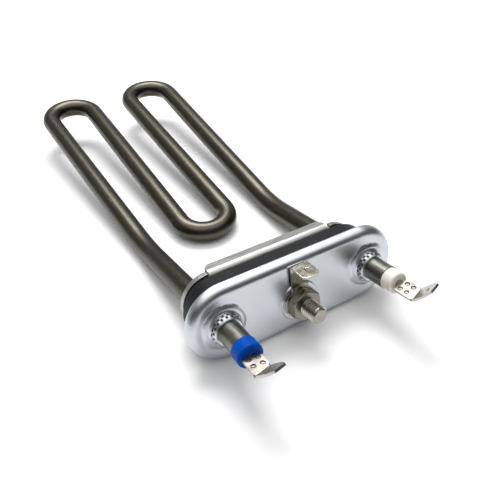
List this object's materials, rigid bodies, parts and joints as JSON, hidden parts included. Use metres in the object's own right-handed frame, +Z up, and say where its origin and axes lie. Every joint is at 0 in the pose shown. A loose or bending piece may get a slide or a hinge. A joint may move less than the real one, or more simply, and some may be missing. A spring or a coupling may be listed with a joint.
{
  "type": "tubular heating element",
  "caption": "Immersion heating element: a bent steel tube in a rubber-sealed oval flange that clamps in a tub wall, with spade terminals and an earth tab.",
  "frame": {"origin": "bottom centre of the whole part's box, as it rests on a flat surface", "axes": "+X along the flange to the off-white terminal, +Y back towards the far bends, +Z up from the surface; the flange's face leans back by 9 degrees"},
  "size_m": [0.0798, 0.205, 0.0266],
  "materials": {
    "sheath": "satin stainless tube, darkened",
    "heating_coil": "resistance wire",
    "powder_fill": "compacted powder",
    "cold_pin_left": "drawn steel",
    "cold_pin_right": "drawn steel",
    "end_seal_left": "sealing resin",
    "end_seal_right": "sealing resin",
    "insulator_left": "moulded, blue",
    "insulator_right": "moulded, off-white",
    "terminal_tab_left": "tinned sheet",
    "terminal_tab_right": "tinned sheet",
    "front_plate": "bright zinc plating",
    "gasket": "moulded rubber",
    "back_plate": "plain steel sheet",
    "clamp_stud": "nickel plating",
    "clamp_nut": "nickel plating",
    "earth_tab": "nickel plated sheet"
  },
  "bodies": {
    "root": {"sheath": "sheath", "heating_coil": "heating_coil", "powder_fill": "powder_fill", "cold_pin_left": "cold_pin_left", "cold_pin_right": "cold_pin_right", "end_seal_left": "end_seal_left", "end_seal_right": "end_seal_right", "insulator_left": "insulator_left", "insulator_right": "insulator_right", "terminal_tab_left": "terminal_tab_left", "terminal_tab_right": "terminal_tab_right", "front_plate": "front_plate", "gasket": "gasket", "back_plate": "back_plate", "clamp_stud": "clamp_stud", "clamp_nut": "clamp_nut", "earth_tab": "earth_tab"}
  },
  "joints": []
}
